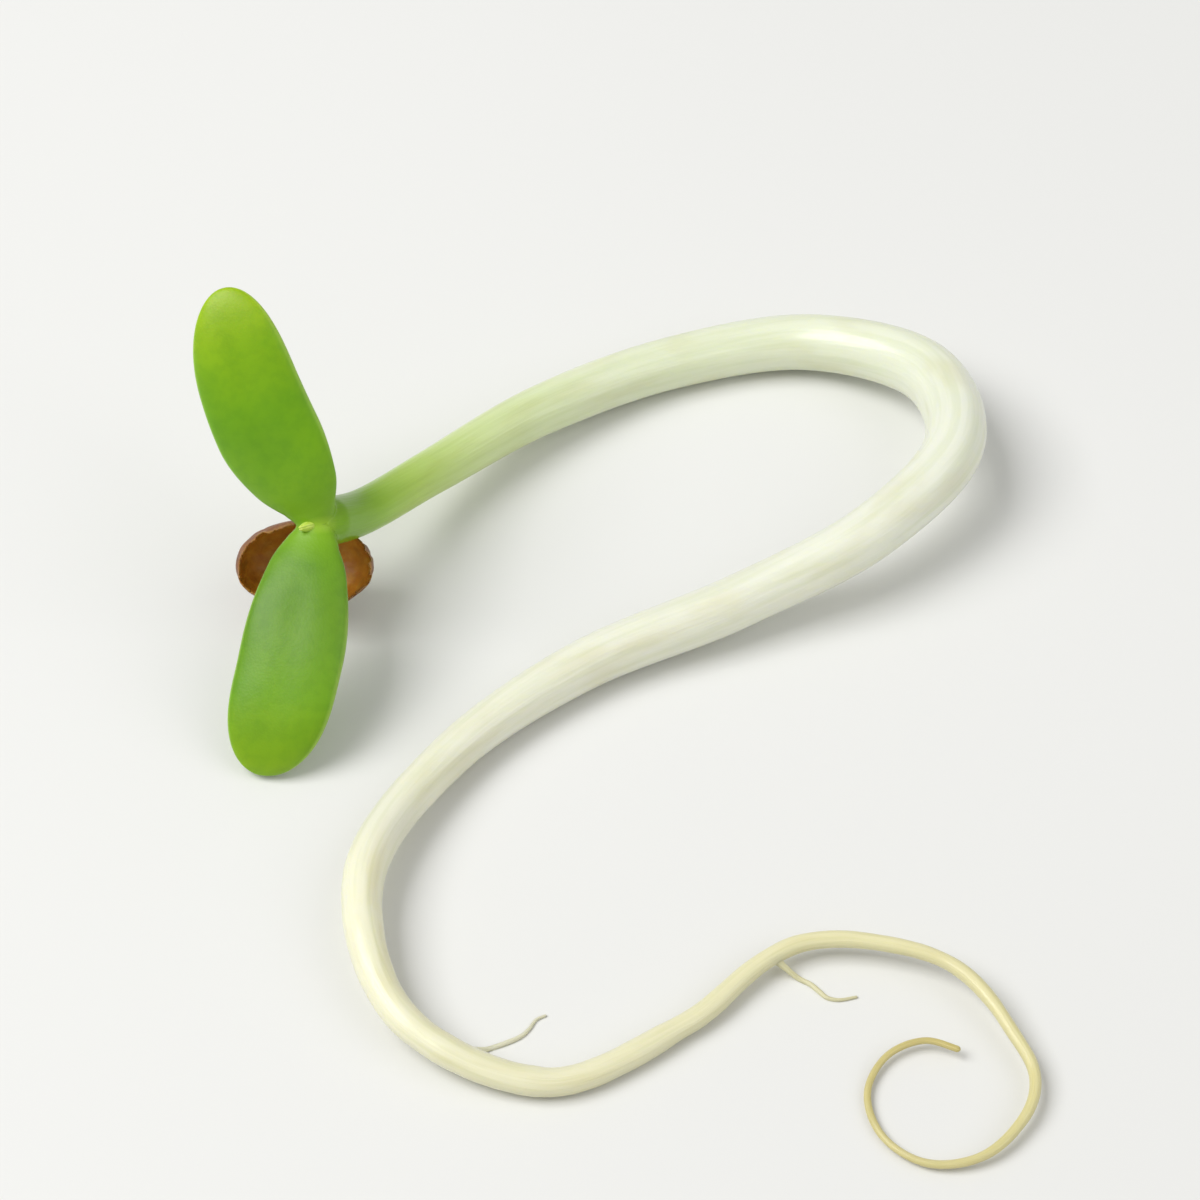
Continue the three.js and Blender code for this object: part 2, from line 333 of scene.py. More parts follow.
class SeedLeaf:
    """A leaf on its arc. u runs from 0 at the foot of the stalk to 1 at the tip, and is below 0 in the fork.

    `along` points from foot to tip, `full` is the u at which the leaf has its full size, and `taper` the
    share of its width that it loses on its way to the tip.
    """

    def __init__(self, along, length, full, taper):
        self.length = length
        self.full = full
        self.taper = taper
        self.outward = unit(along - along.dot(LEAF_FACE) * LEAF_FACE)
        self.side = np.cross(LEAF_FACE, self.outward)
        self.arch = math.radians(LEAF_ARCH)
        self.start = math.acos(along.dot(LEAF_FACE)) - self.arch / 2
        self.radius = length / self.arch
        foot = AXIS.at(0) + LEAF_START * self.run(0)
        self.centre = foot - self.radius * self.face(0)

    def run(self, u):
        angle = np.asarray(self.start + self.arch * u)[..., None]
        return np.cos(angle) * LEAF_FACE + np.sin(angle) * self.outward

    def face(self, u):
        angle = np.asarray(self.start + self.arch * u)[..., None]
        return np.sin(angle) * LEAF_FACE - np.cos(angle) * self.outward

    def swell(self, u, stalk, blade):
        return mix(stalk, blade, np.sin(math.pi / 2 * np.clip(u / self.full, 0, 1)))

    def full_sizes(self, u):
        """Half width and half thickness at u, before either end is rounded off."""
        narrowing = np.clip((LEAF_WAIST - u) / (LEAF_WAIST - LEAF_FOOT), 0, 1) ** 2
        waist = mix(1, WAIST_SHARE, narrowing)
        width = self.swell(u, STALK_WIDTH, LEAF_WIDTH) * (1 - self.taper * np.clip(u, 0, 1) ** 2) * waist
        return width / 2, self.swell(u, STALK_THICKNESS, LEAF_THICKNESS) / 2

    def sizes(self, u):
        """Half width and half thickness at u."""
        foot = np.clip(u / LEAF_FOOT, 0, 1)
        tip = np.clip(1 - (1 - u) / TIP_ROUND, 0, 1)
        share = np.sqrt(1 - foot**2) * np.sqrt(1 - tip**TIP_POWER)
        return tuple(share * size for size in self.full_sizes(u))

    def bow(self, u):
        return LEAF_BOW * np.sin(math.pi * np.clip(u, 0, 1))

    def place(self, u, across, height):
        """The point at u, `across` to the side and `height` above the leaf's middle surface."""
        radius = (self.radius + height)[..., None]
        return self.centre + radius * self.face(u) + (across + self.bow(u))[..., None] * self.side

    def field(self, points):
        """About how far points are outside the leaf, and below 0 for those inside it."""
        arm = points - self.centre
        over, out = arm @ LEAF_FACE, arm @ self.outward
        u = (np.arctan2(over, -out) - self.start) / self.arch
        half_width, half_height = self.full_sizes(np.clip(u, LEAF_FOOT, 1))
        aside = arm @ self.side - self.bow(u)
        above = np.hypot(over, out) - self.radius
        apart = np.stack([aside, above, np.minimum(u, 0) * self.length], -1)
        reach = np.stack([half_width, half_height, 0 * u - LEAF_FOOT * self.length], -1)
        near = np.linalg.norm(apart / reach, axis=-1)
        steep = np.linalg.norm(apart / reach**2, axis=-1)
        return near * (near - 1) / np.maximum(steep, TINY)


UPPER_LEAF = SeedLeaf(along=heading(126, 56), length=5.2, full=0.38, taper=0.18)
LOWER_LEAF = SeedLeaf(along=heading(256, -33), length=5.15, full=0.5, taper=0.04)
FORK = AXIS.at(0)
NECK = -AXIS.run(0)  # the way the neck points as it reaches the fork

FORK_SOFT = 0.13  # about the size of the fillets in the fork
FORK_SINK = 0.1  # how far a piece dips under its neighbour where the neighbour's skin covers it
NECK_SPAN = (0.46, 3.2)  # the stretch of the axis that counts as the neck, by the distance from the fork
NECK_JOINTS = 10
NECK_PART, UPPER_PART, LOWER_PART = 0, 1, 2

GROW_REACH = 2.4  # how far from the fork the pieces are grown together
GROW_ROUNDS = 10
GROW_STEP = (-0.03, 0.08)  # the furthest that a round moves a point in or out
NEAR_PART = (0.04, 0.3)  # how near a part has to be for its points to move, from not at all to all the way
PROBE = 1e-3  # how far to each side the slope of the fork's skin is read
LEAST_SLOPE = 0.4  # keeps the moves short where that slope is faint


def neck_field(points):
    """The distance of points from the neck, as a chain of short rods along the axis."""
    s = np.linspace(*NECK_SPAN, NECK_JOINTS)
    joints = AXIS.at(s)
    radii = eased(AXIS_RADII, s)
    fields = []
    for start, end, start_radius, end_radius in zip(joints, joints[1:], radii, radii[1:]):
        way = end - start
        t = np.clip((points - start) @ way / way.dot(way), 0, 1)
        apart = np.linalg.norm(points - start - t[:, None] * way, axis=1)
        fields.append(apart - mix(start_radius, end_radius, t))
    return np.min(fields, axis=0)


def fork_surface(points, part):
    """How far points are outside the one smooth skin of the whole fork, as that part of it has to follow it.

    Returns that, the part's own field, and how near the part is: 1 where it is the nearest, down to 0.
    """
    fields = np.stack([neck_field(points), UPPER_LEAF.field(points), LOWER_LEAF.field(points)], -1)
    nearest = fields.min(-1, keepdims=True)
    shares = np.exp((nearest - fields) / FORK_SOFT)
    skin = nearest[:, 0] - FORK_SOFT * np.log(shares.sum(-1))
    return skin + FORK_SINK * (1 - shares[:, part]), fields[:, part], shares[:, part]


def fork_slope(points, part):
    """Which way, and how steeply, the distance from the fork's skin grows at points."""
    rises = [
        fork_surface(points + PROBE * axis, part)[0] - fork_surface(points - PROBE * axis, part)[0]
        for axis in np.eye(3)
    ]
    return np.stack(rises, -1) / (2 * PROBE)


def grow_together(points, part):
    """Moves a part's points near the fork onto the fork's smooth skin. Points deep in a neighbour stay."""
    chosen = np.linalg.norm(points - FORK, axis=1) < GROW_REACH
    start = points[chosen]
    _, target, nearness = fork_surface(start, part)
    weight = smoothstep(nearness, *NEAR_PART)[:, None]
    moved = start.copy()
    for _ in range(GROW_ROUNDS):
        value = fork_surface(moved, part)[0] - target
        slope = fork_slope(moved, part)
        size = np.maximum(np.linalg.norm(slope, axis=1), LEAST_SLOPE)
        step = np.clip(-value / size, *GROW_STEP)
        moved += (slope / size[:, None]) * step[:, None]
    result = points.copy()
    result[chosen] = mix(start, moved, weight)
    return result


# ---- The stem and the root ------------------------------------------------------------------------------

AXIS_SIDES = 48
AXIS_STEP = 0.07  # between rings
STEM_START = -0.08  # where the stem's dome ends, inside the fork
COLLAR_LAP = 0.4  # how far the stem and the root reach into each other at the collar
LAP_SINK = 0.12  # how much thinner the hidden end gets, as a share of the radius
LAP_ROUND = 0.1  # how much of a hidden end is rounded off
ROOT_TIP_ROUND = 0.08

# Unevenness of the stem and root: heights are shares of the radius, lengths are in millimetres.
SWELLING, SWELLING_LENGTH = 0.035, 3.1
OVAL, OVAL_LENGTH, OVAL_TWIST = 0.05, 6.0, 0.21
RIB_COUNT, RIB_HEIGHT, RIB_SWAY, RIB_SWAY_RATE = 5, 0.012, 0.3, 0.4
BIG_KNOTS, BIG_KNOT_LENGTH = 0.07, 1.1
SMALL_KNOTS, SMALL_KNOT_LENGTH = 0.05, 0.5
UNEVEN_FROM = (1, 4)  # how far from the fork the unevenness sets in
KNOTS_FROM = (STEM_LENGTH - 2, STEM_LENGTH + 6)  # and the root's knots


def axis_skin(s):
    """The radius at each distance and angle. It is even only at the fork, and most uneven on the root."""
    angle = turns(AXIS_SIDES)
    line = on_line(s)
    swelling = SWELLING * rough(line, SWELLING_LENGTH, seed=1)[:, None]
    oval = OVAL * rough(line, OVAL_LENGTH, seed=2)[:, None] * np.cos(2 * angle + OVAL_TWIST * s[:, None])
    sway = RIB_SWAY * np.sin(RIB_SWAY_RATE * s[:, None])
    ribs = RIB_HEIGHT * np.cos(RIB_COUNT * angle + sway)
    uneven = smoothstep(s, *UNEVEN_FROM)[:, None] * (swelling + oval + ribs)
    big = BIG_KNOTS * rough(line, BIG_KNOT_LENGTH, seed=3)
    small = SMALL_KNOTS * rough(line, SMALL_KNOT_LENGTH, seed=6)
    knots = smoothstep(s, *KNOTS_FROM)[:, None] * (big + small)[:, None]
    return eased(AXIS_RADII, s)[:, None] * (1 + uneven + knots)


def axis_tube(start, end, start_round, end_round, hidden):
    """Distances, rings and skin of a stretch of the axis.

    It gets thinner where it passes the collar to its hidden side: 1 if that is towards the tip, -1 if not.
    """
    s = rounded_steps(start, end, AXIS_STEP, start_round, end_round)
    sunk = 1 - LAP_SINK * np.clip(hidden * (s - STEM_LENGTH) / COLLAR_LAP, 0, 1)
    radii = axis_skin(s) * (sunk * end_share(s, start, end, start_round, end_round))[:, None]
    return s, *tube_rings(AXIS, s, radii)


def on_floor(points):
    """Lifts what would be under the floor, as soft tissue flattens where it rests."""
    floor_height = -ROW_SHIFT[2]
    return np.stack([points[:, 0], points[:, 1], np.maximum(points[:, 2], floor_height)], -1)


def stem():
    """Skin: cosine and sine of the angle round the stem, and the distance from the fork in mm."""
    dome = AXIS_RADII[0][1]
    _, rings, skin = axis_tube(STEM_START, STEM_LENGTH + COLLAR_LAP, dome, LAP_ROUND, hidden=1)
    points, faces, skins = loft(rings, skin)
    return mesh_object("stem_skin", on_floor(grow_together(points, NECK_PART)), faces, skins)


# How far the root wanders to the sides, how long its waves are, and where that fades in and out.
ROOT_WANDER, ROOT_WANDER_LENGTH = 0.12, 1.6
WANDER_IN = (STEM_LENGTH + 4, AXIS.length - 6)
WANDER_OUT = (AXIS.length - 4, AXIS.length)

# Side rootlets, as (distance from the fork, the side it leaves on, length).
SIDE_ROOTS = [(43.2, 1, 2.6), (50.6, -1, 2.1)]
SIDE_ROOT_RADII = [(0, 0.062), (0.5, 0.055), (1, 0.03)]  # by the share of its length
SIDE_ROOT_SIDES = 16
SIDE_ROOT_STEP = 0.04  # between rings
SIDE_ROOT_ENDS = (0.02, 0.03)  # how much of its two ends is rounded off
SIDE_ROOT_POINTS = 8  # that it is drawn through
# How far it gets, in shares of its length: each is two factors, of the share t of the way and of its square.
SIDE_ROOT_OUT = (1, -0.25)  # away from the root
SIDE_ROOT_ON = (0.25, 0.3)  # along with the root
SIDE_ROOT_SWAY, SIDE_ROOT_SWAY_RATE = 0.16, 5.5
SIDE_ROOT_LANDS = 0.3  # the share of its length at which it has come down to the floor
SIDE_ROOT_YELLOWS = 3  # it ends as yellow as the root is this far on
# How much wider its foot is where it leaves the root's skin. Depths are shares of the root's radius there.
FLARE = 0.045
FLARE_FROM = (0.1, 0.5)
FLARE_UNTIL, FLARE_FADE = 0.6, 0.7


def root_centre(s):
    """The middle of the root, which wanders a little to both sides of the axis between its two ends."""
    share = smoothstep(s, *WANDER_IN) * (1 - smoothstep(s, *WANDER_OUT))
    sideways = ROOT_WANDER * share * rough(on_line(s), ROOT_WANDER_LENGTH, seed=11)
    return AXIS.at(s) + sideways[:, None] * AXIS.frames(s)[0]


def side_root_route(start, hand, length):
    """Sideways out of the middle of the root, down to the floor, and more and more along with the root."""
    middle = root_centre(np.array([start]))[0]
    run = AXIS.run(start)
    out = hand * unit(np.cross((0, 0, 1), run))
    t = np.linspace(0, 1, SIDE_ROOT_POINTS)[:, None]
    sideways = SIDE_ROOT_OUT[0] * t + SIDE_ROOT_OUT[1] * t**2
    onwards = SIDE_ROOT_ON[0] * t + SIDE_ROOT_ON[1] * t**2
    sway = SIDE_ROOT_SWAY * np.sin(SIDE_ROOT_SWAY_RATE * t + start) * t
    route = middle + length * (out * sideways + run * (onwards + sway))
    resting = SIDE_ROOT_RADII[-1][1] - ROW_SHIFT[2]
    route[:, 2] = mix(middle[2], resting, smoothstep(t[:, 0], 0, SIDE_ROOT_LANDS))
    return route


def side_root(start, hand, length):
    """A rootlet, with a skin like the root's."""
    strand = Strand(side_root_route(start, hand, length))
    s = rounded_steps(0, strand.length, SIDE_ROOT_STEP, *SIDE_ROOT_ENDS)
    depth = s / eased(AXIS_RADII, start)
    flare = np.exp(-np.maximum(depth - FLARE_UNTIL, 0) / FLARE_FADE) * smoothstep(depth, *FLARE_FROM)
    radii = eased(SIDE_ROOT_RADII, s / strand.length) + FLARE * flare
    radii *= end_share(s, 0, strand.length, *SIDE_ROOT_ENDS)
    rings, skin = tube_rings(strand, s, radii[:, None] * np.ones(SIDE_ROOT_SIDES))
    skin[..., 2] = start + SIDE_ROOT_YELLOWS * (s / strand.length)[:, None]
    return loft(rings, skin)


def joined(parts):
    """One set of points, faces and skins from several."""
    points, faces, skins = [], [], []
    count = 0
    for part_points, part_faces, part_skins in parts:
        points.append(part_points)
        skins.append(part_skins)
        faces += [tuple(corner + count for corner in face) for face in part_faces]
        count += len(part_points)
    return np.vstack(points), faces, np.vstack(skins)


def root():
    """Skin: as the stem's, and it carries on with the stem's distances."""
    s, rings, skin = axis_tube(STEM_LENGTH - COLLAR_LAP, AXIS.length, LAP_ROUND, ROOT_TIP_ROUND, hidden=-1)
    rings += (root_centre(s) - AXIS.at(s))[:, None]
    parts = [loft(rings, skin), *(side_root(*rootlet) for rootlet in SIDE_ROOTS)]
    points, faces, skins = joined(parts)
    return mesh_object("root_skin", on_floor(points), faces, skins)


# ---- The blades of the seed leaves ----------------------------------------------------------------------

LEAF_SIDES = 96
LEAF_RINGS = 150
LEAF_ENDS = (0.05, math.pi - 0.02)  # the stretch of a half turn that spaces the rings, close at both ends
BLADE_FROM = (0.05, 0.35)  # u over which the stalk turns into the blade
BLADE_POWER = 0.8  # 1 would make its faces elliptic, less makes them flatter
UPPER_FACE = 0.82  # how thick the upper half of the blade is, to the lower
VEIN_ENDS = (0.05, 0.4)  # the shares of the length before the tip over which the midrib fades
# Depth in millimetres and half width, as a share of the leaf's, of the midrib above and beneath.
CREASE, CREASE_WIDTH = 0.022, 0.3
MIDRIB, MIDRIB_WIDTH = 0.03, 0.14
RIM_WAVE, RIM_WAVE_RATE = 0.035, 9
DENT, DENT_SIZE = 0.02, 1.3
DENTS_FROM = (0.15, 0.4)  # u over which the dents set in


def vein(across, depth, width):
    return depth * np.exp(-((across / width) ** 2))


def leaf(name, shape, part, seed):
    """Skin: the share across the blade from -1 to 1, u, and the side: 1 on the upper face, -1 beneath."""
    u = mix(LEAF_FOOT, 1.0, (1 - np.cos(np.linspace(*LEAF_ENDS, LEAF_RINGS))) / 2)
    half_width, half_height = (size[:, None] for size in shape.sizes(u))
    angle = turns(LEAF_SIDES)
    grid, across, rise = np.broadcast_arrays(u[:, None], np.cos(angle), np.sin(angle))
    upper = rise > 0
    blade = smoothstep(grid, *BLADE_FROM)
    height = np.sign(rise) * np.abs(rise) ** mix(1.0, BLADE_POWER, blade) * half_height
    height *= np.where(upper, mix(1, UPPER_FACE, blade), 1)
    midrib = np.where(upper, vein(across, CREASE, CREASE_WIDTH), vein(across, MIDRIB, MIDRIB_WIDTH))
    height -= blade * smoothstep(1 - grid, *VEIN_ENDS) * midrib
    wave = RIM_WAVE * blade * np.sin(RIM_WAVE_RATE * grid + seed) * across**2 * np.sign(across)
    rings = shape.place(grid, across * half_width, height + wave)
    points, faces, skins = loft(rings, np.stack([across, grid, rise], -1))
    dents = DENT * rough(points, DENT_SIZE, seed) * smoothstep(skins[:, 1], *DENTS_FROM)
    points = points + dents[:, None] * shape.face(skins[:, 1])
    return mesh_object(name, on_floor(grow_together(points, part)), faces, skins)


# ---- The bud --------------------------------------------------------------------------------------------

BUD_SIDES = 56
BUD_RINGS = 40
BUD_ENDS = (0.1, math.pi - 0.05)  # the stretch of a half turn, from its foot to its tip, that the rings fill
BUD_FOOT = 0.1  # how far above the fork it starts
BUD_LENGTH = 0.5
BUD_WIDTH = 0.32
BUD_FLATNESS = 0.8
BUD_PEAR = 0.38  # how much fuller it is near its foot
BUD_SLIT, BUD_SLIT_WIDTH = 0.035, 0.12  # the slit's depth, and its half width as a share of the bud's
BUD_SLIT_FROM = (1.2, 2.4)  # where on the half turn the slit sets in
BUD_LEAN = 0.08


def bud():
    """Two scales, face to face. Skin: along their fold, the share from foot to tip, and across the fold."""
    turn = np.linspace(*BUD_ENDS, BUD_RINGS)[:, None]
    angle = turns(BUD_SIDES)
    fold = UPPER_LEAF.side
    across = np.cross(NECK, fold)
    swell = np.sin(turn) * (1 + BUD_PEAR * np.cos(turn)) + 0 * angle
    along_fold = np.cos(angle) * swell
    over_fold = np.sin(angle) * swell
    slit = np.exp(-((over_fold / BUD_SLIT_WIDTH) ** 2)) * smoothstep(turn, *BUD_SLIT_FROM)
    rise = BUD_LENGTH / 2 * (1 - np.cos(turn)) - BUD_SLIT * slit
    lean = BUD_LEAN * (rise / BUD_LENGTH) ** 2
    points = FORK + (
        (BUD_FOOT + rise)[..., None] * NECK
        + (BUD_WIDTH / 2 * along_fold + lean)[..., None] * fold
        + (BUD_FLATNESS * BUD_WIDTH / 2 * over_fold)[..., None] * across
    )
    points, faces, skins = loft(points, np.stack([along_fold, rise / BUD_LENGTH, over_fold], -1))
    return mesh_object("first_leaf_bud_skin", points, faces, skins)


# ---- The seed coat --------------------------------------------------------------------------------------

COAT_SIZE = np.array([3.0, 2.0, 1.9])  # its length, its width, and its depth along the way out of its mouth
COAT_PLACE = 1.25  # how far down the neck it clings
COAT_SHIFT = (-1.0, -1.1)  # from the neck to its middle, along its length and its width
COAT_MOUTH = 0.35  # how far past its middle the torn edge runs
COAT_WALL = 0.075
COAT_WAIST, COAT_WAIST_WIDTH = 0.16, 0.55  # the dent in the middle of its far side, where the seed's notch is
COAT_WAIST_FROM = (0.2, 1.0)  # how far across from the middle the dent sets in
COAT_PRESS = 0.03  # how far the edges of the split press into the neck
COAT_SIDES = 360
COAT_RINGS = 70
COAT_START = 0.02  # the first ring, as an angle of the quarter turn that spaces the rings

# The torn edge, in radians from the closed end. Its noise is read on a circle, whose radius sizes compare to.
WIDEST_EDGE = 2.2
EDGE_DROP = 0.04
EDGE_CIRCLE = 2
TEAR, TEAR_SIZE = 0.14, 0.5
NOTCH, NOTCH_SIZE, NOTCH_LEVEL = 0.9, 0.3, 0.15  # only noise above the level makes a notch
NICK, NICK_SIZE = 0.09, 0.1
EDGE_STEPS = 221  # angles at which the wall is tested for the neck
NECK_TEST = np.linspace(0, 5, 101)  # distances along the axis that it is tested against
SPLIT_SPREAD = COAT_SIDES // 90  # how many sides the split is widened by, and then smoothed over
FREE_EDGE = (1.2, 1.6)  # the angles over which the edge leaves the split, and its notches set in

# Relief of the wall in millimetres, each with the size of its features.
FOLD, FOLD_SIZE = 0.025, 0.55
FOLD_SQUEEZE = (1.0, 2.2, 2.2)  # the folds are longer along the coat than they are wide
COAT_DENT, COAT_DENT_SIZE = 0.04, 0.9
CURL, CURL_SIZE = 0.07, 0.6
COAT_DENTS_FROM = (0.05, 0.3)  # shares of the way to the edge over which the dents set in
CURL_FROM = (0.75, 1.0)  # and the curl of the edge
THINNING_FROM = (0.8, 1.0)  # and its thinning
EDGE_WALL = 0.5  # share of the wall's thickness that is left at the edge
LIP = 0.3  # how far the edge is rounded out, in steps between rings


def coat_axes():
    """The middle of the seed coat, and its directions: along it, across it and out of its mouth."""
    long = np.array([1.0, 0.0, 0.0])
    mouth = unit(NECK * (0, 1, 1))
    wide = np.cross(mouth, long)
    return AXIS.at(COAT_PLACE) + COAT_SHIFT[0] * long + COAT_SHIFT[1] * wide, np.stack([long, wide, mouth])


def coat_wall(polar, round_angle):
    """A point of the wall at an angle from the closed end and an angle round the mouth, and its way out."""
    ball = np.stack(
        [np.sin(polar) * np.cos(round_angle), np.sin(polar) * np.sin(round_angle), -np.cos(polar)], -1
    )
    outward = unit(ball / COAT_SIZE)
    point = ball * COAT_SIZE / 2
    waist = COAT_WAIST * np.exp(-((point[..., 0] / COAT_WAIST_WIDTH) ** 2))
    waist *= smoothstep(-point[..., 1], *COAT_WAIST_FROM)
    point = point + np.stack([0 * waist, waist, 0 * waist], -1)
    place, axes = coat_axes()
    return place + point @ axes, outward @ axes


def neck_reached(round_angle):
    """The angle from the closed end at which the wall meets the neck, or the widest where it doesn't."""
    polar = np.linspace(0, WIDEST_EDGE, EDGE_STEPS)
    wall, _ = coat_wall(*np.meshgrid(polar, round_angle, indexing="ij"))
    apart = np.linalg.norm(wall[:, :, None] - AXIS.at(NECK_TEST), axis=-1) - eased(AXIS_RADII, NECK_TEST)
    hit = apart.min(-1) < -COAT_PRESS
    return np.where(hit.any(0), polar[hit.argmax(0)], WIDEST_EDGE)


def with_neighbours(edge):
    return [np.roll(edge, k) for k in range(-SPLIT_SPREAD, SPLIT_SPREAD + 1)]


def torn_edge(round_angle):
    """The angle from the closed end to the torn edge. The split reaches down to where the neck passes out."""
    circle = EDGE_CIRCLE * np.stack([np.cos(round_angle), np.sin(round_angle), 0 * round_angle], -1)
    tears = TEAR * rough(circle, TEAR_SIZE, seed=5)
    whole = math.acos(-COAT_MOUTH / (COAT_SIZE[2] / 2)) - EDGE_DROP + tears
    edge = np.minimum(whole, neck_reached(round_angle))
    smooth = np.mean(with_neighbours(np.min(with_neighbours(edge), axis=0)), axis=0)
    notches = NOTCH * np.maximum(rough(circle, NOTCH_SIZE, seed=9) - NOTCH_LEVEL, 0)
    nicks = NICK * np.abs(rough(circle, NICK_SIZE, seed=7))
    return smooth - smoothstep(smooth, *FREE_EDGE) * (notches + nicks)


def seed_coat():
    """Skin: the share from the closed end to the torn edge, the layer (1 outside, -1 inside), the folds."""
    round_angle = turns(COAT_SIDES)
    share = np.sin(np.linspace(COAT_START, math.pi / 2, COAT_RINGS))[:, None] + 0 * round_angle
    polar = share * torn_edge(round_angle)
    outside, outward = coat_wall(polar, round_angle + 0 * polar)
    flat = outside.reshape(-1, 3)
    folds = rough(flat * FOLD_SQUEEZE, FOLD_SIZE, seed=12).reshape(polar.shape)
    dents = rough(flat, COAT_DENT_SIZE, seed=13).reshape(polar.shape) * smoothstep(share, *COAT_DENTS_FROM)
    curl = rough(flat, CURL_SIZE, seed=14).reshape(polar.shape) * smoothstep(share, *CURL_FROM)
    relief = FOLD * folds + COAT_DENT * dents + CURL * curl
    wall = COAT_WALL * mix(1, EDGE_WALL, smoothstep(share, *THINNING_FROM))
    outer = outside + relief[..., None] * outward
    inner = outside + (relief - wall)[..., None] * outward
    lip = mix(outer[-1], inner[-1], 0.5) + LIP * (outer[-1] - outer[-2])
    rings = np.concatenate([outer, lip[None], inner[::-1]])
    layer = np.concatenate([np.ones(COAT_RINGS), [0], -np.ones(COAT_RINGS)])[:, None] + 0 * round_angle
    shares, all_folds = (np.concatenate([grid, grid[-1:], grid[::-1]]) for grid in (share, folds))
    points, faces, skins = loft(rings, np.stack([shares, layer, all_folds], -1))
    return mesh_object("seed_coat_skin", points, faces, skins)


# ---- Nodes ----------------------------------------------------------------------------------------------


def srgb(code):
    """A linear colour from a hex code."""
    parts = [int(code[i : i + 2], 16) / 255 for i in (1, 3, 5)]
    return [c / 12.92 if c <= 0.04045 else ((c + 0.055) / 1.055) ** 2.4 for c in parts] + [1.0]


class Shade:
    """A material's nodes, added one at a time."""

    def __init__(self, name):
        self.material = bpy.data.materials.new(name)
        self.material.use_nodes = True
        self.tree = self.material.node_tree
        self.tree.nodes.clear()
        output = self.tree.nodes.new("ShaderNodeOutputMaterial")
        self.surface = self.tree.nodes.new("ShaderNodeBsdfPrincipled")
        self.tree.links.new(self.surface.outputs[0], output.inputs["Surface"])

    def put(self, socket, value):
        if isinstance(value, bpy.types.NodeSocket):
            self.tree.links.new(value, socket)
        else:
            socket.default_value = value

    def node(self, kind, inputs=(), **settings):
        made = self.tree.nodes.new("ShaderNode" + kind)
        for key, value in settings.items():
            setattr(made, key, value)
        for key, value in dict(inputs).items():
            self.put(made.inputs[key], value)
        return made

    def math(self, operation, a, b=0.0):
        return self.node("Math", {0: a, 1: b}, operation=operation).outputs[0]

    def times(self, a, b):
        return self.math("MULTIPLY", a, b)

    def one_minus(self, value):
        return self.math("SUBTRACT", 1.0, value)

    def ramp(self, value, stops, low=0.0, high=1.0):
        """A colour for a value, through (place, hex code) stops between low and high."""
        made = self.node("MapRange", {"Value": value, "From Min": low, "From Max": high})
        ramp = self.node("ValToRGB", {"Fac": made.outputs[0]})
        points = ramp.color_ramp.elements
        while len(points) < len(stops):
            points.new(0.5)
        for point, (place, code) in zip(points, stops):
            point.position = (place - low) / (high - low)
            point.color = srgb(code)
        return ramp.outputs[0]

    def between(self, value, low, high):
        """0 below low and 1 above high, with a smooth step."""
        made = self.node(
            "MapRange", {"Value": value, "From Min": low, "From Max": high}, interpolation_type="SMOOTHSTEP"
        )
        return made.outputs[0]

    def blend(self, factor, first, second, mode="MIX"):
        made = self.node("Mix", data_type="RGBA", blend_type=mode)
        self.put(made.inputs[0], factor)
        self.put(made.inputs[6], srgb(first) if isinstance(first, str) else first)
        self.put(made.inputs[7], srgb(second) if isinstance(second, str) else second)
        return made.outputs[2]

    def tint(self, factor, base, code):
        """The base, multiplied by a colour as far as the factor goes."""
        return self.blend(factor, base, self.blend(1.0, base, code, "MULTIPLY"))

    def skin(self):
        """The three numbers of the skin attribute."""
        vector = self.node("Attribute", attribute_name="skin").outputs["Vector"]
        parts = self.node("SeparateXYZ", {0: vector}).outputs
        return vector, parts[0], parts[1], parts[2]

    def noise(self, vector, scale, detail=2.0, stretch=None):
        if stretch is not None:
            vector = self.node("Mapping", {"Vector": vector, "Scale": stretch}).outputs[0]
        made = self.node("TexNoise", {"Vector": vector, "Scale": scale, "Detail": detail})
        return made.outputs["Fac"]

    def place(self):
        """The position on the object, in metres."""
        return self.node("TexCoord").outputs["Object"]

    def bump(self, height, depth):
        """Relief that is that many millimetres deep."""
        return self.node("Bump", {"Height": height, "Distance": depth * MM}).outputs[0]

    def finish(self, **inputs):
        """The material, with the shader's inputs set. Subsurface scale is in metres."""
        names = {key: key.replace("_", " ").title() for key in inputs}
        names["ior"] = "IOR"
        for key, value in inputs.items():
            self.put(self.surface.inputs[names[key]], value)
        return self.material


# ---- Materials ------------------------------------------------------------------------------------------

# Where stem, leaves and bud have grown together they share one run of colours, by the distance from the fork.
FORK_MIDDLE = "#b0d03c"
FORK_EDGE = "#7aaa14"
FORK_SPREAD = (0.15, 0.45)  # where the first gives way to the second
OWN_FROM = 0.4  # where a piece's own colours start to set in
NECK_OWN = 2.4  # and where they have taken over, on the neck
LEAF_OWN = 1.2  # and on the leaves


def fork_colours(shade, own, own_at):
    """A piece's own colour, with the shared colours of the fork where it is nearer than own_at."""
    fork = tuple((FORK + ROW_SHIFT) * MM)
    away = shade.node("VectorMath", {0: shade.place(), 1: fork}, operation="DISTANCE").outputs["Value"]
    stops = [(FORK_SPREAD[0] * MM, FORK_MIDDLE), (FORK_SPREAD[1] * MM, FORK_EDGE)]
    return shade.blend(shade.between(away, OWN_FROM * MM, own_at * MM), shade.ramp(away, stops, 0.0, MM), own)


# Colours of the stem and root by the distance from the fork.
AXIS_COLOURS = [
    (0.8, "#8ab824"),
    (1.8, "#9cc63a"),
    (3.2, "#bad66a"),
    (5.5, "#d4e2a6"),
    (9, "#e2e8cb"),
    (22, "#eaecde"),
    (34, "#eaead9"),
    (41, "#eae8cd"),
    (50, "#e6e1b9"),
    (58, "#dfd6a0"),
    (65, "#d0c07f"),
]
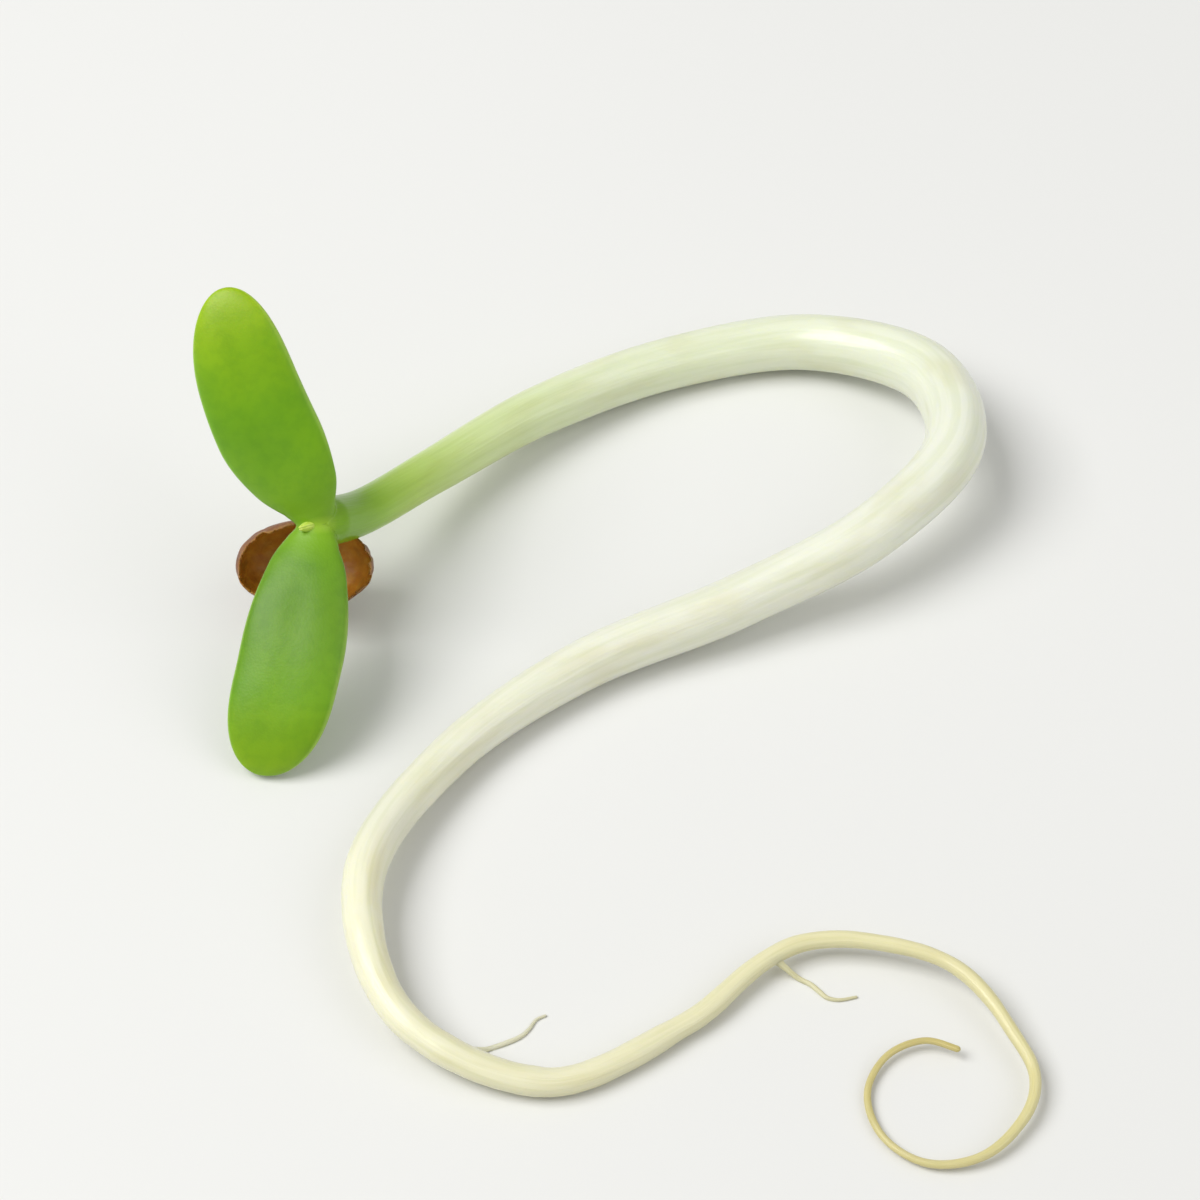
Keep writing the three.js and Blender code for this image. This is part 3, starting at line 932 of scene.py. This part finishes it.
# Patterns drawn out along the stem and root: how finely they change across, across and along it.
STREAKS = (3.4, 3.4, 0.3)
STREAK_TINT, STREAK_SHARE = "#eaeeda", 0.4
CLOUDS = (0.9, 0.9, 0.5)
CLOUD_TINT, CLOUD_SHARE = "#f6f4e8", 0.8
FIBRES = (11.0, 11.0, 0.9)
FIBRE_DEPTH = 0.012
# Light under the skin: its full share, how much of it the thin root loses and where, and the stretches by the
# collar and by the fork over which it sets in.
GLOW = 0.85
GLOW_LOST, GLOW_LOST_OVER = 0.75, (38, 48)
GLOW_OFF_COLLAR = (0.1, 1.3)
GLOW_OFF_FORK = (0.5, 3)


def axis_material(name):
    """The stem and the root share one run of colours, from the fork to the root tip.

    Light under the skin stops short of the seams, because it would show what lies hidden there as dark lines.
    """
    shade = Shade(name)
    vector, _, _, along = shade.skin()
    base = shade.ramp(along, AXIS_COLOURS, high=AXIS_COLOURS[-1][0])
    streaks = shade.between(shade.noise(vector, 1.0, 3.0, stretch=STREAKS), 0.4, 0.7)
    base = shade.tint(shade.times(streaks, STREAK_SHARE), base, STREAK_TINT)
    clouds = shade.between(shade.noise(vector, 1.0, 2.0, stretch=CLOUDS), 0.45, 0.75)
    base = shade.tint(shade.times(clouds, CLOUD_SHARE), base, CLOUD_TINT)
    from_collar = shade.math("ABSOLUTE", shade.math("SUBTRACT", along, STEM_LENGTH))
    off_collar = shade.between(from_collar, *GLOW_OFF_COLLAR)
    off_seams = shade.times(off_collar, shade.between(along, *GLOW_OFF_FORK))
    thick = shade.one_minus(shade.times(shade.between(along, *GLOW_LOST_OVER), GLOW_LOST))
    return shade.finish(
        base_color=fork_colours(shade, base, NECK_OWN),
        roughness=0.3,
        ior=1.4,
        subsurface_weight=shade.times(shade.times(off_seams, thick), GLOW),
        subsurface_radius=(1.0, 0.95, 0.6),
        subsurface_scale=0.4 * MM,
        coat_weight=0.3,
        coat_roughness=0.12,
        normal=shade.bump(shade.noise(vector, 1.0, 2.0, stretch=FIBRES), FIBRE_DEPTH),
    )


# Colours of the leaves' upper sides by u, and of their backs.
UPPER_COLOURS = [(0.06, "#7fb200"), (0.25, "#79ae00"), (0.5, "#74aa00"), (0.75, "#88b400"), (1.0, "#9cba00")]
UPPER_BACK = "#a4c860"
LOWER_COLOURS = [(0.06, "#6c9c12"), (0.25, "#679510"), (0.4, "#6a9812"), (0.65, "#73a410"), (1.0, "#90b400")]
LOWER_BACK = "#9cc066"
BACK_SHARE = 0.6  # how much of the back's colour shows
BACK_OVER = (-0.45, -0.05)  # the stretch of the side's number over which the back turns into the upper side
# Sizes of the leaves' patterns and relief, in millimetres.
LEAF_CLOUD = 1.5
LEAF_CLOUD_TINT = "#e6f0cf"
LEAF_MOTTLE = 0.22
LEAF_MOTTLE_TINT = "#f5f8ec"
LEAF_CELL, LEAF_CELL_DEPTH = 0.06, 0.0025
RIM = 0.93  # the share across at which the paler rim starts, a painted glow of light through the thin edge
RIM_GLOW_COLOUR, RIM_SHARE = "#c6e27a", 0.3
BLADE_COLOURS_FROM = (0.15, 0.35)  # u over which the rim's and the back's colours set in


def leaf_material(name, colours, back):
    shade = Shade(name)
    _, across, along, side = shade.skin()
    place = shade.place()
    base = shade.ramp(along, colours)
    clouds = shade.between(shade.noise(place, 1 / (LEAF_CLOUD * MM), 2.0), 0.35, 0.7)
    base = shade.tint(clouds, base, LEAF_CLOUD_TINT)
    mottles = shade.between(shade.noise(place, 1 / (LEAF_MOTTLE * MM), 3.0), 0.4, 0.65)
    base = shade.tint(mottles, base, LEAF_MOTTLE_TINT)
    blade = shade.between(along, *BLADE_COLOURS_FROM)
    # Painted light: the thin rim is made paler, as if lit through.
    rim_glow = shade.times(shade.between(shade.math("ABSOLUTE", across), RIM, 1.0), blade)
    base = shade.blend(shade.times(rim_glow, RIM_SHARE), base, shade.blend(1.0, base, RIM_GLOW_COLOUR, "SCREEN"))
    beneath = shade.times(shade.one_minus(shade.between(side, *BACK_OVER)), blade)
    base = shade.blend(shade.times(beneath, BACK_SHARE), base, back)
    cells = shade.node("TexVoronoi", {"Vector": place, "Scale": 1 / (LEAF_CELL * MM)}).outputs["Distance"]
    return shade.finish(
        base_color=fork_colours(shade, base, LEAF_OWN),
        roughness=0.44,
        ior=1.4,
        subsurface_weight=shade.times(shade.between(along, 0.0, 0.2), 0.35),
        subsurface_radius=(0.6, 1.0, 0.25),
        subsurface_scale=0.35 * MM,
        coat_weight=0.08,
        coat_roughness=0.34,
        normal=shade.bump(cells, LEAF_CELL_DEPTH),
    )


BUD_COLOURS = [(0, FORK_MIDDLE), (0.4, "#bcd94a"), (1.0, "#d6e672")]  # from its foot to its tip
BUD_TINT = "#e8eec0"
BUD_GRAIN, BUD_GRAIN_DEPTH = 3.0, 0.006  # how finely its grain changes, and how deep it is
# Painted shade in the slit between the two scales: a darker green, and how much of it shows.
BUD_SLIT_SHADE_COLOUR, BUD_SLIT_SHADE_SHARE = "#96b038", 0.5
BUD_SLIT_SHADE_ACROSS = (0.02, 0.14)  # the shares across the fold between which the painted shade of the slit fades
BUD_SLIT_SHADE_FROM = (0.4, 0.8)  # the shares of its length over which the painted shade of the slit sets in


def bud_material():
    shade = Shade("bud")
    vector, _, along, over = shade.skin()
    grain = shade.noise(vector, BUD_GRAIN, 2.0)
    base = shade.tint(shade.between(grain, 0.4, 0.7), shade.ramp(along, BUD_COLOURS), BUD_TINT)
    # Painted shade: darker green along the slit, where the two scales meet.
    slit_shade = shade.one_minus(shade.between(shade.math("ABSOLUTE", over), *BUD_SLIT_SHADE_ACROSS))
    slit_shade = shade.times(slit_shade, shade.between(along, *BUD_SLIT_SHADE_FROM))
    return shade.finish(
        base_color=shade.blend(shade.times(slit_shade, BUD_SLIT_SHADE_SHARE), base, BUD_SLIT_SHADE_COLOUR),
        roughness=0.4,
        subsurface_weight=0.3,
        subsurface_radius=(0.9, 1.0, 0.4),
        subsurface_scale=0.12 * MM,
        normal=shade.bump(grain, BUD_GRAIN_DEPTH),
    )


# Colours of the husk by its grain: outside, inside and along the torn edge.
HUSK_OUTSIDE = [(0.3, "#6a3a10"), (0.5, "#7e4814"), (0.72, "#945e1c")]
HUSK_LINING = [(0.3, "#ae6c1e"), (0.55, "#c08228"), (0.75, "#ca983c")]
HUSK_EDGE = [(0.35, "#905a18"), (0.6, "#ac7c30")]
HUSK_EDGE_SHARE, HUSK_EDGE_FROM = 0.8, 0.93
# Painted shade: darker where the folds of the wall sink in, and how much of it shows.
HUSK_HOLLOW_SHADE_COLOUR, HUSK_HOLLOW_SHADE_SHARE = "#58300e", 0.35
HUSK_GRAIN = 0.32  # sizes of its patterns and relief, in millimetres
HUSK_PORE, HUSK_PORE_DEPTH = 0.09, 0.012


def husk_material():
    shade = Shade("husk")
    _, share, layer, folds = shade.skin()
    place = shade.place()
    grain = shade.noise(place, 1 / (HUSK_GRAIN * MM), 4.0)
    outside = shade.ramp(grain, HUSK_OUTSIDE, 0.25, 0.75)
    lining = shade.ramp(grain, HUSK_LINING, 0.25, 0.8)
    base = shade.blend(shade.between(layer, -0.9, 0.2), lining, outside)
    at_edge = shade.times(shade.between(share, HUSK_EDGE_FROM, 1.0), HUSK_EDGE_SHARE)
    base = shade.blend(at_edge, base, shade.ramp(grain, HUSK_EDGE, 0.3, 0.7))
    # Painted shade in the hollows of the folds.
    hollow_shade = shade.times(shade.between(folds, 0.1, -0.7), HUSK_HOLLOW_SHADE_SHARE)
    pores = shade.noise(place, 1 / (HUSK_PORE * MM), 3.0)
    return shade.finish(
        base_color=shade.blend(hollow_shade, base, HUSK_HOLLOW_SHADE_COLOUR),
        roughness=0.42,
        ior=1.4,
        subsurface_weight=0.15,
        subsurface_radius=(1.0, 0.45, 0.15),
        subsurface_scale=0.12 * MM,
        coat_weight=0.08,
        coat_roughness=0.25,
        normal=shade.bump(pores, HUSK_PORE_DEPTH),
    )


# ---- Stage ----------------------------------------------------------------------------------------------

VIEW_ELEVATION = 50  # degrees
LENS, SENSOR = 100, 36  # in millimetres
MARGIN = 1.12  # the width of the frame, as a share of the sprout's
FLOOR_HALF = 1.5
FLOOR_COLOURS = ("#e8e8e5", "#e4e4e1")
WORLD_STRENGTH = 0.4


def floor():
    mesh = bpy.data.meshes.new("floor")
    corners = [(x * FLOOR_HALF, y * FLOOR_HALF, 0) for x, y in ((-1, -1), (1, -1), (1, 1), (-1, 1))]
    mesh.from_pydata(corners, [], [(0, 1, 2, 3)])
    plate = bpy.data.objects.new("floor", mesh)
    bpy.context.scene.collection.objects.link(plate)
    shade = Shade("floor")
    tone = shade.noise(shade.place(), 12.0, 2.0)
    colour = shade.blend(shade.between(tone, 0.3, 0.7), *FLOOR_COLOURS)
    mesh.materials.append(shade.finish(base_color=colour, roughness=0.6))


def lamp(name, centre, azimuth, elevation, distance, size, power):
    """A square lamp that shines at the centre. Distance and size are in metres, and power is in watts."""
    light = bpy.data.lights.new(name, "AREA")
    light.size = size
    light.energy = power
    made = bpy.data.objects.new(name, light)
    back = Vector(heading(azimuth, elevation))
    made.location = centre + back * distance
    made.rotation_mode = "QUATERNION"
    made.rotation_quaternion = back.to_track_quat("Z", "Y")
    bpy.context.scene.collection.objects.link(made)


def lights(centre):
    lamp("key", centre, azimuth=186, elevation=55, distance=0.25, size=0.16, power=0.52)
    lamp("fill", centre, azimuth=340, elevation=45, distance=0.3, size=0.25, power=0.2)
    world = bpy.data.worlds.new("world")
    bpy.context.scene.world = world
    world.use_nodes = True
    background = world.node_tree.nodes["Background"].inputs
    background["Color"].default_value = (1, 1, 1, 1)
    background["Strength"].default_value = WORLD_STRENGTH


def camera(low, high):
    """Looks down on the box from its low corner to its high one, and just takes it in."""
    data = bpy.data.cameras.new("camera")
    data.lens = LENS
    data.sensor_width = SENSOR
    made = bpy.data.objects.new("camera", data)
    rise = math.radians(VIEW_ELEVATION)
    back = Vector((0, -math.cos(rise), math.sin(rise)))
    up = Vector((0, math.sin(rise), math.cos(rise)))
    size = high - low
    span = MARGIN * max(size.x, size.dot(up))
    made.location = (low + high) / 2 + back * (span * LENS / SENSOR)
    made.rotation_mode = "QUATERNION"
    made.rotation_quaternion = back.to_track_quat("Z", "Y")
    data.clip_start = 0.001
    data.clip_end = 10
    bpy.context.scene.collection.objects.link(made)
    bpy.context.scene.camera = made


# ---- The assembly ---------------------------------------------------------------------------------------


def stand_for(piece, node, material):
    """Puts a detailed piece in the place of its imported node."""
    piece.data.materials.append(material)
    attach(piece, "root")
    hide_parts(node)


stand_for(stem(), "stem", axis_material("stem_tissue"))
stand_for(root(), "root", axis_material("root_tissue"))
stand_for(
    leaf("upper_seed_leaf_skin", UPPER_LEAF, UPPER_PART, seed=4),
    "upper_seed_leaf",
    leaf_material("upper_leaf", UPPER_COLOURS, UPPER_BACK),
)
stand_for(
    leaf("lower_seed_leaf_skin", LOWER_LEAF, LOWER_PART, seed=9),
    "lower_seed_leaf",
    leaf_material("lower_leaf", LOWER_COLOURS, LOWER_BACK),
)
stand_for(bud(), "first_leaf_bud", bud_material())
stand_for(seed_coat(), "seed_coat", husk_material())

bpy.context.scene.view_settings.view_transform = "Standard"
floor()
lights((CAD_BOX[0] + CAD_BOX[1]) / 2)
camera(*CAD_BOX)
